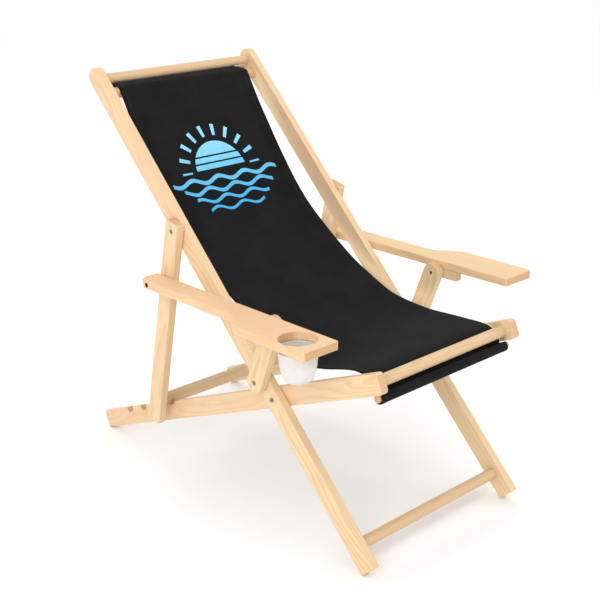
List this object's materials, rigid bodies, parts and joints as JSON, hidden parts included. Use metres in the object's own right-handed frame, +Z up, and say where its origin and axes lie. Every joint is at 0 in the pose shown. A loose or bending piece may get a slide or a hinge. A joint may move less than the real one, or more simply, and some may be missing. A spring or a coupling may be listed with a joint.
{
  "type": "folding beach chair",
  "caption": "Folding wooden sling chair for the beach: notched seat rails set the recline, the seat is one hung cloth, and the linked armrests fold flat with one holding a cup.",
  "frame": {"origin": "on the ground under the middle of the open chair's bounding box", "axes": "+Z up, -Y the way the sitter faces, +X to the sitter's left"},
  "size_m": [0.684, 0.9718, 0.9231],
  "materials": {
    "rail_wood": "satin",
    "arm_wood": "satin",
    "dowel_wood": "satin",
    "sling_canvas": "matt",
    "cup_netting": "matt",
    "bolt_steel": "satin"
  },
  "bodies": {
    "long_frame": {"long_rail_right": "rail_wood", "long_rail_left": "rail_wood", "top_dowel": "dowel_wood", "rear_dowel": "dowel_wood", "foot_dowel": "dowel_wood", "main_bolt_right": "bolt_steel", "main_bolt_left": "bolt_steel", "prop_bolt_right": "bolt_steel", "prop_bolt_left": "bolt_steel", "post_bolt_right": "bolt_steel", "post_bolt_left": "bolt_steel", "sling_back": "sling_canvas", "top_rod": "dowel_wood"},
    "seat_frame": {"seat_rail_right": "rail_wood", "seat_rail_left": "rail_wood", "front_dowel": "dowel_wood", "front_rod": "dowel_wood", "sling_seat": "sling_canvas"},
    "prop_frame": {"prop_rail_right": "rail_wood", "prop_rail_left": "rail_wood", "prop_crossbar": "dowel_wood", "crossbar_screw_right": "bolt_steel", "crossbar_screw_left": "bolt_steel"},
    "post_right_body": {"post_right": "rail_wood"},
    "post_left_body": {"post_left": "rail_wood"},
    "arm_right_body": {"armrest_right": "arm_wood", "hinge_block_right": "rail_wood", "block_bolt_right": "bolt_steel", "arm_bolt_right": "bolt_steel", "block_screw_front_right": "bolt_steel", "block_screw_rear_right": "bolt_steel", "cup_net": "cup_netting", "cup_net_hoop": "bolt_steel"},
    "arm_left_body": {"armrest_left": "arm_wood", "hinge_block_left": "rail_wood", "block_bolt_left": "bolt_steel", "arm_bolt_left": "bolt_steel", "block_screw_front_left": "bolt_steel", "block_screw_rear_left": "bolt_steel"}
  },
  "joints": [
    {"name": "fold", "type": "hinge", "parent": "long_frame", "child": "seat_frame", "pos_m": [0, -0.1955, 0.29968], "axis": [1, 0, 0], "range_deg": [0, 66]},
    {"name": "prop_swing", "type": "hinge", "parent": "long_frame", "child": "prop_frame", "pos_m": [0, 0.09938, 0.60505], "axis": [1, 0, 0], "range_deg": [0, 123.01]},
    {"name": "post_swing_right", "type": "hinge", "parent": "long_frame", "child": "post_right_body", "pos_m": [-0.2415, -0.16285, 0.33349], "axis": [1, 0, 0], "range_deg": [-65.9, 0]},
    {"name": "post_swing_left", "type": "hinge", "parent": "long_frame", "child": "post_left_body", "pos_m": [0.2415, -0.16285, 0.33349], "axis": [1, 0, 0], "range_deg": [-65.9, 0]},
    {"name": "arm_swing_right", "type": "hinge", "parent": "post_right_body", "child": "arm_right_body", "pos_m": [-0.2415, -0.21872, 0.4727], "axis": [1, 0, 0], "range_deg": [0, 108.95]},
    {"name": "arm_swing_left", "type": "hinge", "parent": "post_left_body", "child": "arm_left_body", "pos_m": [0.2415, -0.21872, 0.4727], "axis": [1, 0, 0], "range_deg": [0, 108.95]}
  ],
  "couplings": [
    {"joint": "prop_swing", "follows": "fold", "ratio": 1.8636},
    {"joint": "post_swing_right", "follows": "fold", "ratio": -0.99801},
    {"joint": "arm_swing_right", "follows": "fold", "ratio": 1.65},
    {"joint": "post_swing_left", "follows": "fold", "ratio": -0.99801},
    {"joint": "arm_swing_left", "follows": "fold", "ratio": 1.65}
  ]
}
